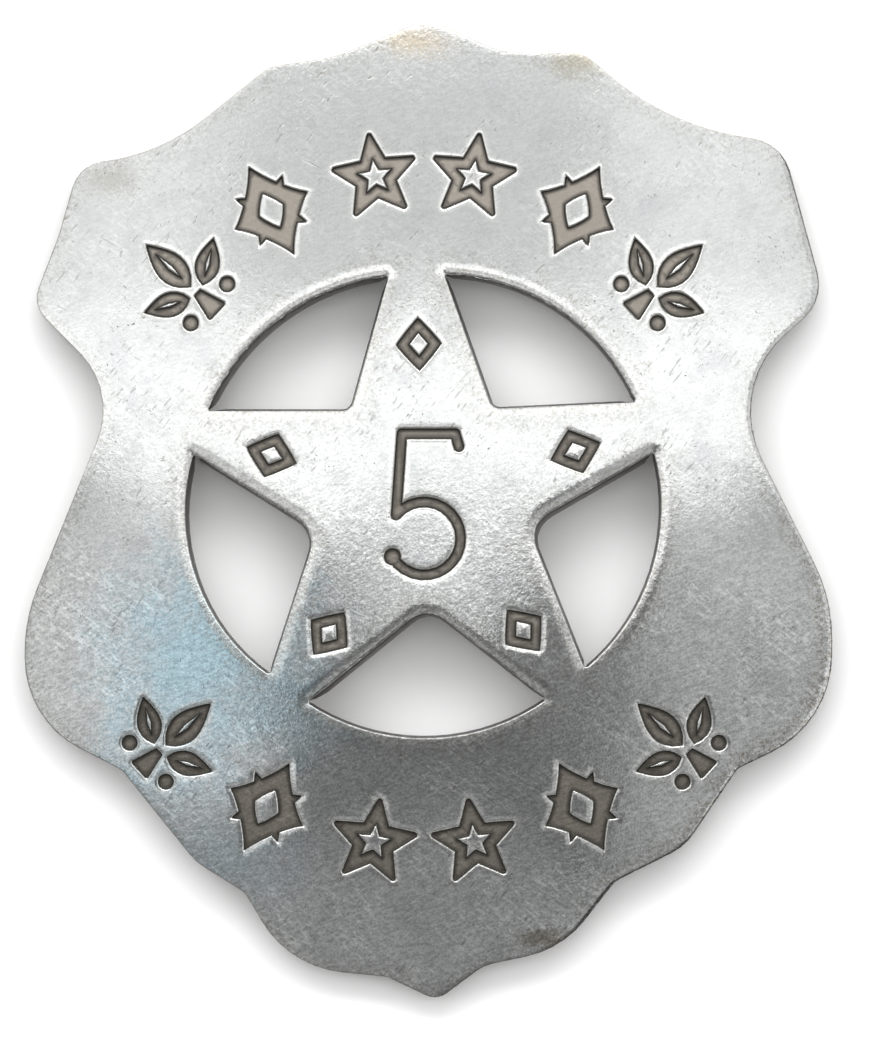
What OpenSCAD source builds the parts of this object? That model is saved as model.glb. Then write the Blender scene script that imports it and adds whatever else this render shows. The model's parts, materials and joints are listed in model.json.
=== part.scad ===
// A pierced shield badge: a scalloped sheet-metal shield, domed and cut through around a five-armed star,
// with stamped marks in its face and a straight pin behind it. It lies face up, its top towards +Y.
// The origin is on the surface that the badge rests on, under the middle of its outline.

/* [Shield] */
// Width across the lower lobes
badge_w = 57.15; // [55:0.05:60]
// Height from the bottom tip to the top tip
badge_h = 69.1; // [67:0.05:73]
// Thickness of the metal
plate_t = 1.5; // [1.2:0.1:2]
// Radius of the dome's face
dome_r = 150; // [140:5:300]
// Height of the plate's back above the rest surface, at the top of the dome
back_h = 4.5; // [4.5:0.1:6]

/* [Ring and star] */
// Distance of the ring's centre to the right of the shield's centre
ring_x = -0.3; // [-1:0.1:1]
// Distance of the ring's centre above the shield's centre
ring_y = 0.4; // [-1:0.1:1]
// Radius of the ring's inner edge
ring_r = 16.6; // [15.5:0.1:17]
// Rounding of the openings' corners at the ring, beside the upper three arms
upper_corner_r = 0.15; // [0.15:0.05:0.5]
// Rounding of the openings' corners at the ring, beside the lower two arms
lower_corner_r = 0.25; // [0.15:0.05:0.5]
// Rounding of the two crotches above the star's level arms
upper_crotch_r = 0.8; // [0.4:0.1:2.4]
// Rounding of the three crotches below the star's level arms
lower_crotch_r = 2; // [0.4:0.1:2.4]

/* [Stamped marks] */
// Depth of the marks below the face
mark_depth = 0.4; // [0.2:0.05:0.6]
// Radius of the arc that carries the upper marks
upper_arc_r = 23.4; // [23:0.1:24]
// Radius of the arc that carries the lower marks
lower_arc_r = 24.1; // [23.5:0.1:24.5]
// Height of an arc mark
mark_h = 6.9; // [5.5:0.1:7]
// Width of an arc mark
mark_w = 5.7; // [4.5:0.1:5.8]
// Distance of the small marks from the ring's centre
arm_mark_r = 11.3; // [10.8:0.1:11.8]
// Length of a small mark along its arm
arm_mark_h = 3.6; // [2.8:0.1:4]
// Width of an engraved line
line_w = 0.65; // [0.5:0.05:0.8]
// Height of the numeral
numeral_h = 10.6; // [9:0.1:11]
// Width of the numeral's bowl
numeral_w = 5.8; // [5:0.1:6]

/* [Pin] */
// Distance between the hinge and the catch
pin_span = 38; // [34:0.5:40]
// Distance of the pin above the shield's centre
pin_y = 5.5; // [5:0.1:6]
// Thickness of the pin's wire
wire_d = 1.2; // [1:0.1:1.4]
// Height of the wire's middle above the rest surface
wire_z = 1.3; // [1:0.1:1.6]
// Length of the wire beyond the catch
wire_over = 2.5; // [1.5:0.1:4]
// Solder gap between the pin's feet and the plate
foot_gap = 0.05; // [0.02:0.01:0.1]

/* [Hidden] */

// The outline's corners were drawn for a badge of this width and height.
drawn_w = 57.2;
drawn_h = 69.14;
wide = badge_w / drawn_w;
high = badge_h / drawn_h;

// Arcs are drawn in steps of at most this turn in degrees and this length.
max_turn = 14;
max_chord = 1.1;
smooth = 96;
far = 40;

dome_z = back_h + plate_t - dome_r;

// One row for each corner of the outline, clockwise from the top tip: x, y, radius of the rounded corner
outline_corners = [
    [-0.1, 34.8, 2.5],     // top tip
    [5.2, 32.4, 4.2],      // dip right of the tip
    [11.0, 32.4, 2.1],     // right hump
    [17.0, 27.1, 19.0],    // sweep to the shoulder
    [25.1, 26.1, 3.2],     // right shoulder
    [28.1, 14.9, 3.2],     // right ear
    [21.0, 8.7, 7.4],      // right waist
    [28.6, -6.3, 11.7],    // right lobe, upper
    [28.6, -15.1, 7.6],    // right lobe, lower
    [21.9, -18.3, 0.8],    // right notch
    [18.2, -23.8, 4.2],    // first right scallop
    [13.2, -26.3, 1.8],    // nick between the scallops
    [9.5, -31.1, 7.1],     // second right scallop
    [3.9, -32.3, 2.8],     // dip right of the bottom tip
    [0.6, -34.8, 1.4],     // bottom tip
    [-2.9, -33.1, 1.8],    // dip left of the bottom tip
    [-9.9, -32.4, 7.5],    // second left scallop
    [-13.0, -27.1, 1.1],   // nick between the scallops
    [-16.5, -24.9, 4.2],   // first left scallop
    [-21.7, -18.4, 1.4],   // left notch
    [-28.6, -14.9, 7.1],   // left lobe, lower
    [-28.6, -7.7, 12.0],   // left lobe, upper
    [-22.0, 8.4, 5.7],     // left waist
    [-28.1, 14.5, 2.1],    // left ear
    [-26.2, 19.5, 7.1],    // hollow over the ear
    [-24.8, 24.5, 2.5],    // left shoulder
    [-19.0, 25.2, 14.0],   // sweep to the hump
    [-11.3, 31.4, 2.1],    // left hump
    [-6.6, 32.1, 7.1]      // dip left of the tip
];

// One row for each arm, anticlockwise from the right: the angles at which its two sides meet the ring, how far
// the ring's edge lies beyond ring_r there, and the rounding of those corners.
star_arms = [
    [12.8, 25.7, 0, upper_corner_r],
    [85, 98.9, -0.3, upper_corner_r],
    [156.7, 167.7, 0.05, upper_corner_r],
    [228, 239.3, -0.35, lower_corner_r],
    [302.2, 314.2, -0.35, lower_corner_r]
];

// One row for each opening, between an arm and the next: the angle and the distance of its crotch, the
// crotch's rounding, and how far the ring's edge lies beyond ring_r in the opening's middle.
star_crotches = [
    [54.4, 8.25, upper_crotch_r, 0.05],
    [128.1, 8.35, upper_crotch_r, 0],
    [194.2, 7.8, lower_crotch_r, 0.3],
    [271.4, 7.1, lower_crotch_r, -0.1],
    [348.7, 7.4, lower_crotch_r, 0.1]
];

// Places of the marks on both arcs, in degrees from the middle of the arc
mark_angles = [-47, -27.5, -8.5, 8.5, 27.5, 47];

function unit(v) = v / norm(v);
function polar(angle, radius) = radius * [cos(angle), sin(angle)];
function heading(v) = atan2(v[1], v[0]);
function shortest_turn(from, to) = let (turn = (to - from) % 360)
    turn > 180 ? turn - 360 : turn < -180 ? turn + 360 : turn;

// Points along an arc about c, the first and last included
function arc_points(c, radius, start, sweep) =
    let (steps = ceil(max(abs(sweep) / max_turn, radius * abs(sweep) * PI / 180 / max_chord)))
    [for (i = [0:steps]) c + polar(start + sweep * i / steps, radius)];

// The corner p between its neighbours a and b, as one point or as an arc that is tangent to both sides
function corner_arc(a, p, b, radius) = radius == 0 ? [p] :
    let (
        u = unit(a - p),
        v = unit(b - p),
        half = acos(u * v) / 2,
        c = p + unit(u + v) * radius / sin(half),
        start = heading(p + u * radius / tan(half) - c),
        end = heading(p + v * radius / tan(half) - c)
    )
    arc_points(c, radius, start, shortest_turn(start, end));

function xy(row) = [row[0], row[1]];

// A closed outline from rows of x, y and corner radius
function rounded(rows) = [
    for (i = [0:len(rows) - 1])
        let (before = rows[(i + len(rows) - 1) % len(rows)], after = rows[(i + 1) % len(rows)])
        each corner_arc(xy(before), xy(rows[i]), xy(after), rows[i][2])
];

// The ring's edge from one arm to the next, with a bulge in the middle: x, y, radius of the corner
function ring_rows(arm, next, beyond_middle) =
    let (
        sweep = shortest_turn(arm[1], next[0]),
        bulge = beyond_middle - (arm[2] + next[2]) / 2,
        steps = ceil(ring_r * sweep * PI / 180 / max_chord)
    )
    [
        for (i = [0:steps])
            let (
                share = i / steps,
                beyond = arm[2] + (next[2] - arm[2]) * share + 4 * bulge * share * (1 - share),
                p = polar(arm[1] + sweep * share, ring_r + beyond)
            )
            [p[0], p[1], i == 0 ? arm[3] : i == steps ? next[3] : 0]
    ];

// The opening that follows arm i: its crotch and the ring's edge
function opening_rows(i) =
    let (row = star_crotches[i], crotch = polar(row[0], row[1]))
    concat(
        [[crotch[0], crotch[1], row[2]]],
        ring_rows(star_arms[i], star_arms[(i + 1) % len(star_arms)], row[3])
    );

// The direction in which an arm points
function arm_angle(arm) = (arm[0] + arm[1]) / 2;

module shield_outline() {
    polygon(rounded([for (row = outline_corners) [row[0] * wide, row[1] * high, row[2] * wide]]));
}

module openings() {
    translate([ring_x, ring_y])
        for (i = [0:len(star_arms) - 1])
            polygon(rounded(opening_rows(i)));
}

// A ball on the dome's centre, with its poles away from the badge
module dome_ball(radius) {
    translate([0, 0, dome_z])
        rotate([90, 0, 0])
            sphere(r = radius, $fn = smooth * 2);
}

// A leaf that grows along +Y from the origin, fullest below its middle
function leaf_half(l, w, side) = let (steps = 9)
    [for (i = [1:steps - 1]) [side * w / 2 * sin(180 * pow(i / steps, 0.8)), l * i / steps]];
module leaf(l, w) {
    left = leaf_half(l, w, -1);
    polygon(concat([[0, 0]], leaf_half(l, w, 1), [[0, l]], [for (i = [len(left) - 1:-1:0]) left[i]]));
}

// A leaf whose vein is left standing
module veined_leaf(l, w) {
    difference() {
        leaf(l, w);
        polygon([[0, 0.2 * l], [0.1 * w, 0.45 * l], [0, 0.78 * l], [-0.1 * w, 0.45 * l]]);
    }
}

// A sprig: a middle leaf between two side leaves, and a stem with a berry on either side
module sprig_mark() {
    translate([0, -0.12 * mark_h])
        veined_leaf(0.62 * mark_h, 0.35 * mark_w);
    for (side = [-1, 1]) {
        translate([side * 0.12 * mark_w, -0.2 * mark_h])
            rotate(-side * 60)
                veined_leaf(0.48 * mark_h, 0.29 * mark_w);
        translate([side * 0.33 * mark_w, -0.38 * mark_h])
            circle(r = 0.09 * mark_w, $fn = smooth);
    }
    polygon(rounded([
        [-0.05 * mark_w, -0.22 * mark_h, 0],
        [0.05 * mark_w, -0.22 * mark_h, 0],
        [0.14 * mark_w, -0.5 * mark_h, 0.1],
        [-0.14 * mark_w, -0.5 * mark_h, 0.1]
    ]));
}

// A closed curve between a diamond and a four-pointed star: the larger the power, the hollower its sides
function lozenge(w, h, power, steps) =
    [for (quarter = [0:3], i = [0:steps - 1])
        let (a = 90 * (quarter + i / steps), c = cos(a), s = sin(a))
        [w / 2 * sign(c) * pow(abs(c), power), h / 2 * sign(s) * pow(abs(s), power)]];

// A hollow-sided lozenge with a spur on each side, and a small lozenge left standing in its middle
module lozenge_mark() {
    spur = [0.11 * mark_w, 0.2 * mark_w, 0.45 * mark_w];
    difference() {
        union() {
            polygon(lozenge(mark_w, mark_h, 2.35, 9));
            for (quarter = [0:3])
                rotate(45 + 90 * quarter)
                    polygon([[spur[1], -spur[0]], [spur[2], 0], [spur[1], spur[0]]]);
        }
        polygon(lozenge(0.34 * mark_w, 0.4 * mark_h, 1.7, 5));
    }
}

// The outline of a five-pointed star, each tip rounded to tip_r
function star_rows(tip, tip_r) = [
    for (i = [0:9])
        let (p = polar(90 + 36 * i, i % 2 == 0 ? tip : 0.45 * tip))
        [p[0], p[1], i % 2 == 0 ? tip_r : 0]
];

// A five-pointed star with a small one left standing in its middle
module star_mark() {
    difference() {
        polygon(rounded(star_rows(0.48 * mark_h, 0.15)));
        polygon(rounded(star_rows(0.19 * mark_h, 0)));
    }
}

// A mark on one of the arcs: its kind follows from how far it is from the middle
module arc_mark(place) {
    if (place == 0 || place == 5)
        sprig_mark();
    if (place == 1 || place == 4)
        lozenge_mark();
    if (place == 2 || place == 3)
        star_mark();
}

module arc_marks() {
    for (place = [0:len(mark_angles) - 1]) {
        rotate(-mark_angles[place])
            translate([0, upper_arc_r])
                arc_mark(place);
        rotate(mark_angles[place])
            translate([0, -lower_arc_r])
                arc_mark(place);
    }
}

// A small engraved lozenge on each arm
module arm_marks() {
    for (arm = star_arms)
        rotate(arm_angle(arm) - 90)
            translate([0, arm_mark_r])
                difference() {
                    polygon(lozenge(0.86 * arm_mark_h, arm_mark_h, 1.9, 4));
                    polygon(lozenge(0.86 * arm_mark_h - 2.6 * line_w, arm_mark_h - 2.9 * line_w, 1.9, 4));
                }
}

// A line of the engraver's width between two points, with round ends
module line_between(p, q) {
    translate(p)
        rotate(heading(q - p))
            translate([0, -line_w / 2])
                square([norm(q - p), line_w]);
    for (end = [p, q])
        translate(end)
            circle(d = line_w, $fn = smooth);
}

// A plain engraved figure five: a bar, a stem and an open bowl that ends in a dot
module numeral_mark() {
    bowl_r = (numeral_w - line_w) / 2;
    bowl = [0, bowl_r - numeral_h / 2 + line_w / 2];
    top = (numeral_h - line_w) / 2;
    joint = bowl + polar(140, bowl_r);
    line_between([joint[0] + 0.4, top], [bowl_r * 0.85, top]);
    line_between([joint[0] + 0.4, top], joint);
    line_between([bowl_r * 0.85, top], [bowl_r * 0.95, top - 0.9]);
    polygon(concat(
        arc_points(bowl, bowl_r + line_w / 2, -150, 290),
        arc_points(bowl, bowl_r - line_w / 2, 140, -290)
    ));
    translate(bowl + polar(-150, bowl_r))
        circle(r = 0.85 * line_w, $fn = smooth);
}

// Everything that is sunk in the face, as a solid that ends on the marks' domed floor
module sunk_marks() {
    difference() {
        translate([0, 0, -far / 4])
            linear_extrude(far)
                translate([ring_x, ring_y]) {
                    arc_marks();
                    arm_marks();
                    numeral_mark();
                }
        dome_ball(dome_r - mark_depth);
    }
}

module badge_plate() {
    color([0.77, 0.78, 0.77])
        difference() {
            intersection() {
                translate([0, 0, -far / 4])
                    linear_extrude(far)
                        difference() {
                            shield_outline();
                            openings();
                        }
                dome_ball(dome_r);
            }
            dome_ball(dome_r - plate_t);
            sunk_marks();
        }
}

// A pad under the plate, on two ears that stand on the rest surface, with the wire's knuckle between them
module hinge() {
    pad = [4.6, 4.4];
    ear_t = 0.9;
    pad_z = 2.2;
    translate([-pad[0] / 2, -pad[1] / 2, pad_z])
        cube([pad[0], pad[1], far / 8]);
    for (side = [-1, 1])
        translate([-pad[0] / 2 + 0.5, side * (pad[1] - ear_t) / 2 - ear_t / 2, 0])
            cube([pad[0] - 1, ear_t, pad_z + 0.5]);
    translate([0, 0, wire_z])
        rotate([90, 0, 0])
            cylinder(h = pad[1] - ear_t, d = 2 * wire_d - 0.2, center = true, $fn = smooth);
}

// A pad under the plate with a post that the wire passes through
module catch() {
    pad = [4.2, 4.4];
    post = [2.2, 3];
    pad_z = 2.4;
    translate([-pad[0] / 2, -pad[1] / 2, pad_z])
        cube([pad[0], pad[1], far / 8]);
    translate([-post[0] / 2, -post[1] / 2, 0])
        cube([post[0], post[1], pad_z + 0.5]);
}

module back_pin() {
    point_l = 1.6;
    catch_x = pin_span / 2;
    color([0.7, 0.68, 0.62])
        intersection() {
            translate([0, pin_y, 0]) {
                translate([-catch_x, 0, 0])
                    hinge();
                translate([catch_x, 0, 0])
                    catch();
                translate([-catch_x, 0, wire_z])
                    rotate([0, 90, 0])
                        cylinder(h = pin_span + wire_over, d = wire_d, $fn = smooth);
                translate([catch_x + wire_over, 0, wire_z])
                    rotate([0, 90, 0])
                        cylinder(h = point_l, d1 = wire_d, d2 = wire_d / 5, $fn = smooth);
            }
            dome_ball(dome_r - plate_t - foot_gap);
        }
}

badge_plate();
back_pin();
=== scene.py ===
"""A pierced shield badge of worn white metal with a straight pin behind it, lying face up on a pale table.

Everything is in metres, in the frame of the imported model: the origin is on the table under the middle of
the badge, +Y runs to the badge's top tip and +Z out of its face.
"""

import json
import logging
import math
from collections.abc import Callable, Iterator, Mapping
from contextlib import contextmanager
from dataclasses import dataclass, field
from enum import Enum

import bmesh
import bpy
import numpy as np
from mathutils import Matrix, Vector, noise

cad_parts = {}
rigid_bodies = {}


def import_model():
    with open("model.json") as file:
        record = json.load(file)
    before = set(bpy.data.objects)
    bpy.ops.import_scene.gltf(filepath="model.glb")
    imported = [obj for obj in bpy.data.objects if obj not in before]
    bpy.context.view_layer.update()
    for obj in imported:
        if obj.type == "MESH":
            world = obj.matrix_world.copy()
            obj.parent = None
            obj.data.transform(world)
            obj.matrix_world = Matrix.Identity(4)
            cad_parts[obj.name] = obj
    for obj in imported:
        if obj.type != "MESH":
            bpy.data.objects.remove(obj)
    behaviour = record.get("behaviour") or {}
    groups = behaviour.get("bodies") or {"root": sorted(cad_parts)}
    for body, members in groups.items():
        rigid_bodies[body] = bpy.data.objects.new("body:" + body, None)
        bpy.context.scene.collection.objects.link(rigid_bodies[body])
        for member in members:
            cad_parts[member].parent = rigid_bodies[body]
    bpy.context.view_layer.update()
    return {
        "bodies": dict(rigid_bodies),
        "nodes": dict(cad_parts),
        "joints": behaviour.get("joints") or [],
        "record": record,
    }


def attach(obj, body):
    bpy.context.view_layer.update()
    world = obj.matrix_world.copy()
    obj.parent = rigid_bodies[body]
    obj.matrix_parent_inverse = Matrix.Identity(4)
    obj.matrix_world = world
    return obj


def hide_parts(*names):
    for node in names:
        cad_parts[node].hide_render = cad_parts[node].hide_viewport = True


LOG = logging.getLogger("badge")
DEPTH = "depth"
MM = 0.001
MERGE_GAP = 0.001 * MM
CUT_GAP = 0.002 * MM
TINY = 1e-9
POINTS_AT_ONCE = 500
Array = np.ndarray
Pair = tuple[float, float]
Colour = tuple[float, float, float]
Tree = bpy.types.NodeTree
Socket = bpy.types.NodeSocket
Sockets = Mapping[str, Socket]


class Surface(Enum):
    """The kinds of surface that the flattened plate has."""

    FACE = 0
    FLOOR = 1
    BACK = 2
    OUTER_WALL = 3
    MARK_WALL = 4


class Rim(Enum):
    """The edges where the plate's face ends. Each value names the attribute that holds the gap to it."""

    OPENING = "opening_gap"
    OUTLINE = "outline_gap"
    MARK = "mark_gap"


@dataclass(frozen=True)
class Dome:
    """The ball whose top is the badge's domed face."""

    radius: float = 150 * MM
    crown: float = 6 * MM

    @property
    def centre(self) -> Vector:
        """The middle of the ball."""
        return Vector((0, 0, self.crown - self.radius))

    def flatten(self, points: Array) -> Array:
        """Presses the dome flat.

        Args:
            points: Points on the badge, one a row.

        Returns:
            The same points with z as their height above the domed face.
        """
        flat = points.copy()
        flat[:, 2] = np.linalg.norm(points - np.array(self.centre), axis=1) - self.radius
        return flat

    def raise_up(self, flat: Array) -> Array:
        """Domes flattened points again.

        Args:
            flat: Points whose z is their height above the domed face.

        Returns:
            The points in the badge's own frame.
        """
        points = flat.copy()
        reach = (self.radius + flat[:, 2]) ** 2 - flat[:, 0] ** 2 - flat[:, 1] ** 2
        points[:, 2] = self.centre.z + np.sqrt(reach)
        return points


@dataclass(frozen=True)
class Rounding:
    """How a surface falls towards its rim: a broad gentle slope that ends in a small round edge."""

    slope_width: float
    slope_drop: float
    edge_width: float
    edge_drop: float
    steepest_share: float = 0.95

    def fall(self, gap: Array) -> Array:
        """The drop at each distance from the rim."""
        slope, edge = self.shares(gap)
        return self.slope_drop * slope**2 + self.edge_drop * (1 - np.sqrt(1 - edge**2))

    def steepness(self, gap: Array) -> Array:
        """How steeply the surface falls.

        Args:
            gap: Distances from the rim.

        Returns:
            The slope at each distance.
        """
        slope, edge = self.shares(gap)
        edge = np.minimum(edge, self.steepest_share)
        return (2 * self.slope_drop / self.slope_width * slope
                + self.edge_drop / self.edge_width * edge / np.sqrt(1 - edge**2))

    def shares(self, gap: Array) -> tuple[Array, Array]:
        """How far each point is into the slope and into the round edge, from 0 to 1 at the rim."""
        return np.clip(1 - gap / self.slope_width, 0, 1), np.clip(1 - gap / self.edge_width, 0, 1)


@dataclass(frozen=True)
class RimLine:
    """The straight pieces of one kind of rim, seen from above."""

    starts: Array
    ends: Array

    def nearest(self, points: Array) -> tuple[Array, Array]:
        """Finds the nearest place on the rim to each point.

        Args:
            points: Points, one a row. Only x and y count.

        Returns:
            The distance of each point from the rim, and the unit vector that leads from the rim to it.
        """
        along = self.ends - self.starts
        length_squared = (along**2).sum(1)
        away = []
        for batch in np.array_split(points[:, :2], len(points) // POINTS_AT_ONCE + 1):
            offset = batch[:, None] - self.starts[None]
            share = np.clip((offset * along).sum(2) / length_squared, 0, 1)
            offset -= share[..., None] * along
            best = (offset**2).sum(2).argmin(1)
            away.append(offset[np.arange(len(batch)), best])
        away = np.concatenate(away)
        gap = np.linalg.norm(away, axis=1)
        return gap, away / np.maximum(gap, TINY)[:, None]

    def part(self, chosen: Array) -> "RimLine":
        """The chosen pieces of the rim."""
        return RimLine(self.starts[chosen], self.ends[chosen])


class Workpiece:
    """A mesh object that is worked on with edit-mode tools, as by hand."""

    def __init__(self, node: bpy.types.Object, name: str) -> None:
        """Starts a piece from a copy of a CAD node's mesh and merges its loose triangles.

        Args:
            node: The CAD node, which stays as it is.
            name: The new piece's name.
        """
        self.mesh = node.data.copy()
        self.mesh.name = name
        self.obj = bpy.data.objects.new(name, self.mesh)
        bpy.context.scene.collection.objects.link(self.obj)
        with self.editing():
            bpy.ops.mesh.remove_doubles(threshold=MERGE_GAP)
            bpy.ops.mesh.customdata_custom_splitnormals_clear()

    def activate(self) -> None:
        """Selects the piece and no other, for the tools that work on the active object."""
        bpy.ops.object.select_all(action="DESELECT")
        self.obj.select_set(True)
        bpy.context.view_layer.objects.active = self.obj

    @contextmanager
    def editing(self) -> Iterator[None]:
        """Opens the mesh in edit mode with all of it selected, and closes it again."""
        self.activate()
        bpy.ops.object.mode_set(mode="EDIT")
        bpy.ops.mesh.select_mode(type="FACE")
        bpy.ops.mesh.select_all(action="SELECT")
        yield
        bpy.ops.object.mode_set(mode="OBJECT")

    def rows(self, items: bpy.types.bpy_prop_collection, name: str) -> Array:
        """Reads a vector that the mesh holds for each of its points or faces.

        Args:
            items: The mesh's points or faces.
            name: What is read of each, such as its place.

        Returns:
            The vectors, one a row.
        """
        values = np.zeros(len(items) * 3)
        items.foreach_get(name, values)
        return values.reshape(-1, 3)

    @property
    def points(self) -> Array:
        """The mesh's points, one a row."""
        return self.rows(self.mesh.vertices, "co")

    @points.setter
    def points(self, values: Array) -> None:
        """Moves the points."""
        self.mesh.vertices.foreach_set("co", values.ravel())
        self.mesh.update()

    @property
    def face_normals(self) -> Array:
        """The faces' normals, one a row."""
        return self.rows(self.mesh.polygons, "normal")

    def over_faces(self, values: Array, rule: Callable) -> Array:
        """What a rule such as np.min makes of the values at each face's points."""
        return np.array([rule(values[list(face.vertices)]) for face in self.mesh.polygons])

    def merge_and_dissolve(self, gap: float, angle: float) -> None:
        """Merges points that lie close together and joins faces that are nearly level with each other.

        Args:
            gap: The distance under which points are merged.
            angle: The angle within which faces are joined, in radians.
        """
        with self.editing():
            bpy.ops.mesh.remove_doubles(threshold=gap)
            bpy.ops.mesh.dissolve_limited(angle_limit=angle)

    def inset(self, chosen: Array, gaps: tuple[float, ...]) -> None:
        """Cuts rings of edges inside the border of a region of faces.

        Args:
            chosen: True for each face of the region.
            gaps: The rings' distances from the border, in rising order.
        """
        with self.editing():
            self.choose(chosen)
            for before, gap in zip((0.0, *gaps), gaps):
                bpy.ops.mesh.inset(thickness=gap - before, depth=0, use_even_offset=True,
                                   use_boundary=False)

    def choose(self, faces: Array) -> None:
        """Selects faces of the open mesh, and nothing else.

        Args:
            faces: True for each face that is selected.
        """
        bpy.ops.mesh.select_all(action="DESELECT")
        work = bmesh.from_edit_mesh(self.mesh)
        work.faces.ensure_lookup_table()
        for index in np.flatnonzero(faces):
            work.faces[index].select_set(True)
        bmesh.update_edit_mesh(self.mesh)

    def cut_grid(self, step: float, faces: Array) -> None:
        """Cuts faces along planes that are step apart across x and across y.

        Args:
            step: The distance between the planes.
            faces: True for each face that is cut.
        """
        counts = (np.abs(self.points[:, :2]).max(0) // step).astype(int)
        off_the_middle = 0.013 * MM
        with self.editing():
            self.choose(faces)
            bpy.ops.mesh.hide(unselected=True)
            for count, across in zip(counts, (Vector((1, 0, 0)), Vector((0, 1, 0)))):
                for i in range(-count, count + 1):
                    place = across * (i * step + off_the_middle)
                    bpy.ops.mesh.select_all(action="SELECT")
                    bpy.ops.mesh.bisect(plane_co=place, plane_no=across, threshold=CUT_GAP)
            bpy.ops.mesh.reveal(select=False)
            bpy.ops.mesh.select_all(action="SELECT")
            bpy.ops.mesh.remove_doubles(threshold=CUT_GAP)

    def store(self, name: str, values: Array) -> None:
        """Keeps one value for each point in a named attribute."""
        attribute = self.mesh.attributes.new(name, "FLOAT", "POINT")
        attribute.data.foreach_set("value", values.astype(np.float32))

    def apply(self, kind: str, **settings: object) -> None:
        """Adds a modifier and applies it.

        Args:
            kind: The modifier's type.
            settings: The modifier's own properties.
        """
        self.activate()
        modifier = self.obj.modifiers.new(kind.title(), kind)
        for key, value in settings.items():
            setattr(modifier, key, value)
        bpy.ops.object.modifier_apply(modifier=modifier.name)

    def smooth(self, angle: float) -> None:
        """Shades the piece smooth except across edges sharper than angle, in radians."""
        self.activate()
        bpy.ops.object.shade_smooth_by_angle(angle=angle)

    def set_normals(self, normals: Array) -> None:
        """Sets the shading normals of the points, and leaves the zero ones as they are."""
        self.mesh.normals_split_custom_set_from_vertices(normals.tolist())

    def dress(self, material: bpy.types.Material) -> None:
        """Gives the whole piece one material."""
        self.mesh.materials.clear()
        self.mesh.materials.append(material)


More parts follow.
